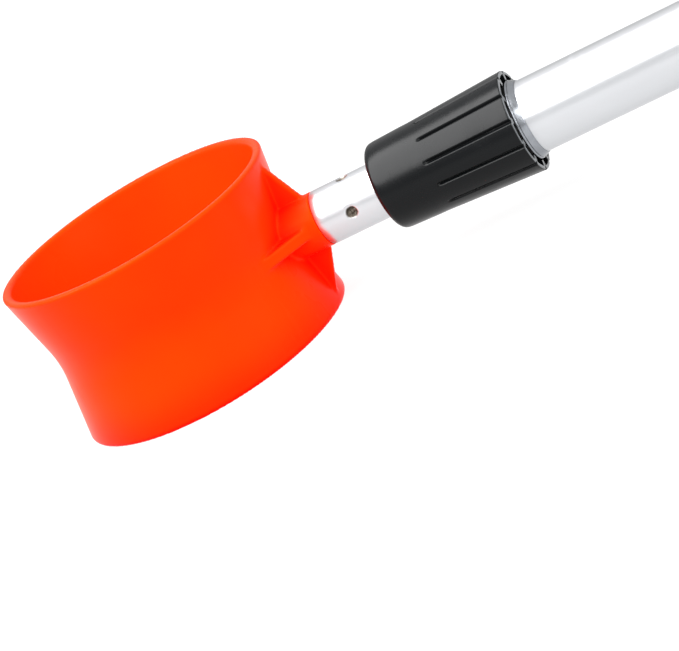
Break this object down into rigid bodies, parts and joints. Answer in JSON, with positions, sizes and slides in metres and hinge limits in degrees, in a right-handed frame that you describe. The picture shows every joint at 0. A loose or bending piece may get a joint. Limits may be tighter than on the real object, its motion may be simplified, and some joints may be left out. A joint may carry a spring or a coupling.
{
  "type": "golf ball retriever",
  "caption": "Telescoping golf ball retriever: orange two-way trap ring with a spring plunger, aluminium tubes with black twist-lock collars, and a rubber grip.",
  "frame": {"origin": "under the middle of the collapsed object, level with the trap ring's lower rim and the cap's lowest line", "axes": "+X along the shaft from the trap ring to the butt, +Z along the trap ring's own axis, shaft centre line 15 mm up"},
  "size_m": [1.0602, 0.0524, 0.03],
  "materials": {
    "trap_orange": "satin moulded orange plastic",
    "plunger_nylon": "natural nylon",
    "spring_steel": "bright spring steel",
    "tube_aluminium": "satin clear anodised",
    "glide_nylon": "natural nylon",
    "collar_black": "gloss moulded black plastic",
    "sleeve_dark": "dark moulded nylon",
    "ring_metal": "turned bare metal",
    "grip_rubber": "moulded rubber",
    "cap_rubber": "moulded rubber, smooth",
    "bumper_rubber": "soft rubber"
  },
  "bodies": {
    "handle": {"base_tube": "tube_aluminium", "grip": "grip_rubber", "grip_cap": "cap_rubber", "butt_plug": "sleeve_dark", "butt_bumper": "bumper_rubber", "cap_screw": "spring_steel", "mid_thread_sleeve": "sleeve_dark", "mid_clamp_ring": "glide_nylon", "mid_collar_ring": "ring_metal"},
    "mid_collar": {"mid_collar": "collar_black"},
    "mid_carrier": {"mid_glide": "glide_nylon"},
    "mid_section": {"mid_tube": "tube_aluminium", "mid_stop_sleeve": "glide_nylon", "tip_thread_sleeve": "sleeve_dark", "tip_clamp_ring": "glide_nylon", "tip_collar_ring": "ring_metal"},
    "tip_collar": {"tip_collar": "collar_black"},
    "tip_carrier": {"tip_glide": "glide_nylon"},
    "tip_section": {"tip_tube": "tube_aluminium", "tip_stop_sleeve": "glide_nylon", "trap_ring": "trap_orange", "spring_seat": "plunger_nylon", "plunger_spring": "spring_steel"},
    "plunger": {"trap_plunger": "plunger_nylon"}
  },
  "joints": [
    {"name": "mid_extend", "type": "slide", "parent": "handle", "child": "mid_carrier", "axis": [-1, 0, 0], "range_m": [0, 0.81]},
    {"name": "mid_swivel", "type": "hinge", "parent": "mid_carrier", "child": "mid_section", "pos_m": [0.4961, 0, 0.015], "axis": [1, 0, 0], "continuous": true},
    {"name": "mid_collar_twist", "type": "hinge", "parent": "handle", "child": "mid_collar", "pos_m": [-0.3918, 0, 0.015], "axis": [1, 0, 0], "range_deg": [0, 180]},
    {"name": "tip_extend", "type": "slide", "parent": "mid_section", "child": "tip_carrier", "axis": [-1, 0, 0], "range_m": [0, 0.86]},
    {"name": "tip_swivel", "type": "hinge", "parent": "tip_carrier", "child": "tip_section", "pos_m": [0.4761, 0, 0.015], "axis": [1, 0, 0], "continuous": true},
    {"name": "tip_collar_twist", "type": "hinge", "parent": "mid_section", "child": "tip_collar", "pos_m": [-0.4601, 0, 0.015], "axis": [1, 0, 0], "range_deg": [0, 180]},
    {"name": "plunger_press", "type": "slide", "parent": "tip_section", "child": "plunger", "axis": [1, 0, 0], "range_m": [0, 0.003], "stiffness_N_per_m": 300, "springref_m": -0.004, "deforming": ["plunger_spring"]}
  ]
}
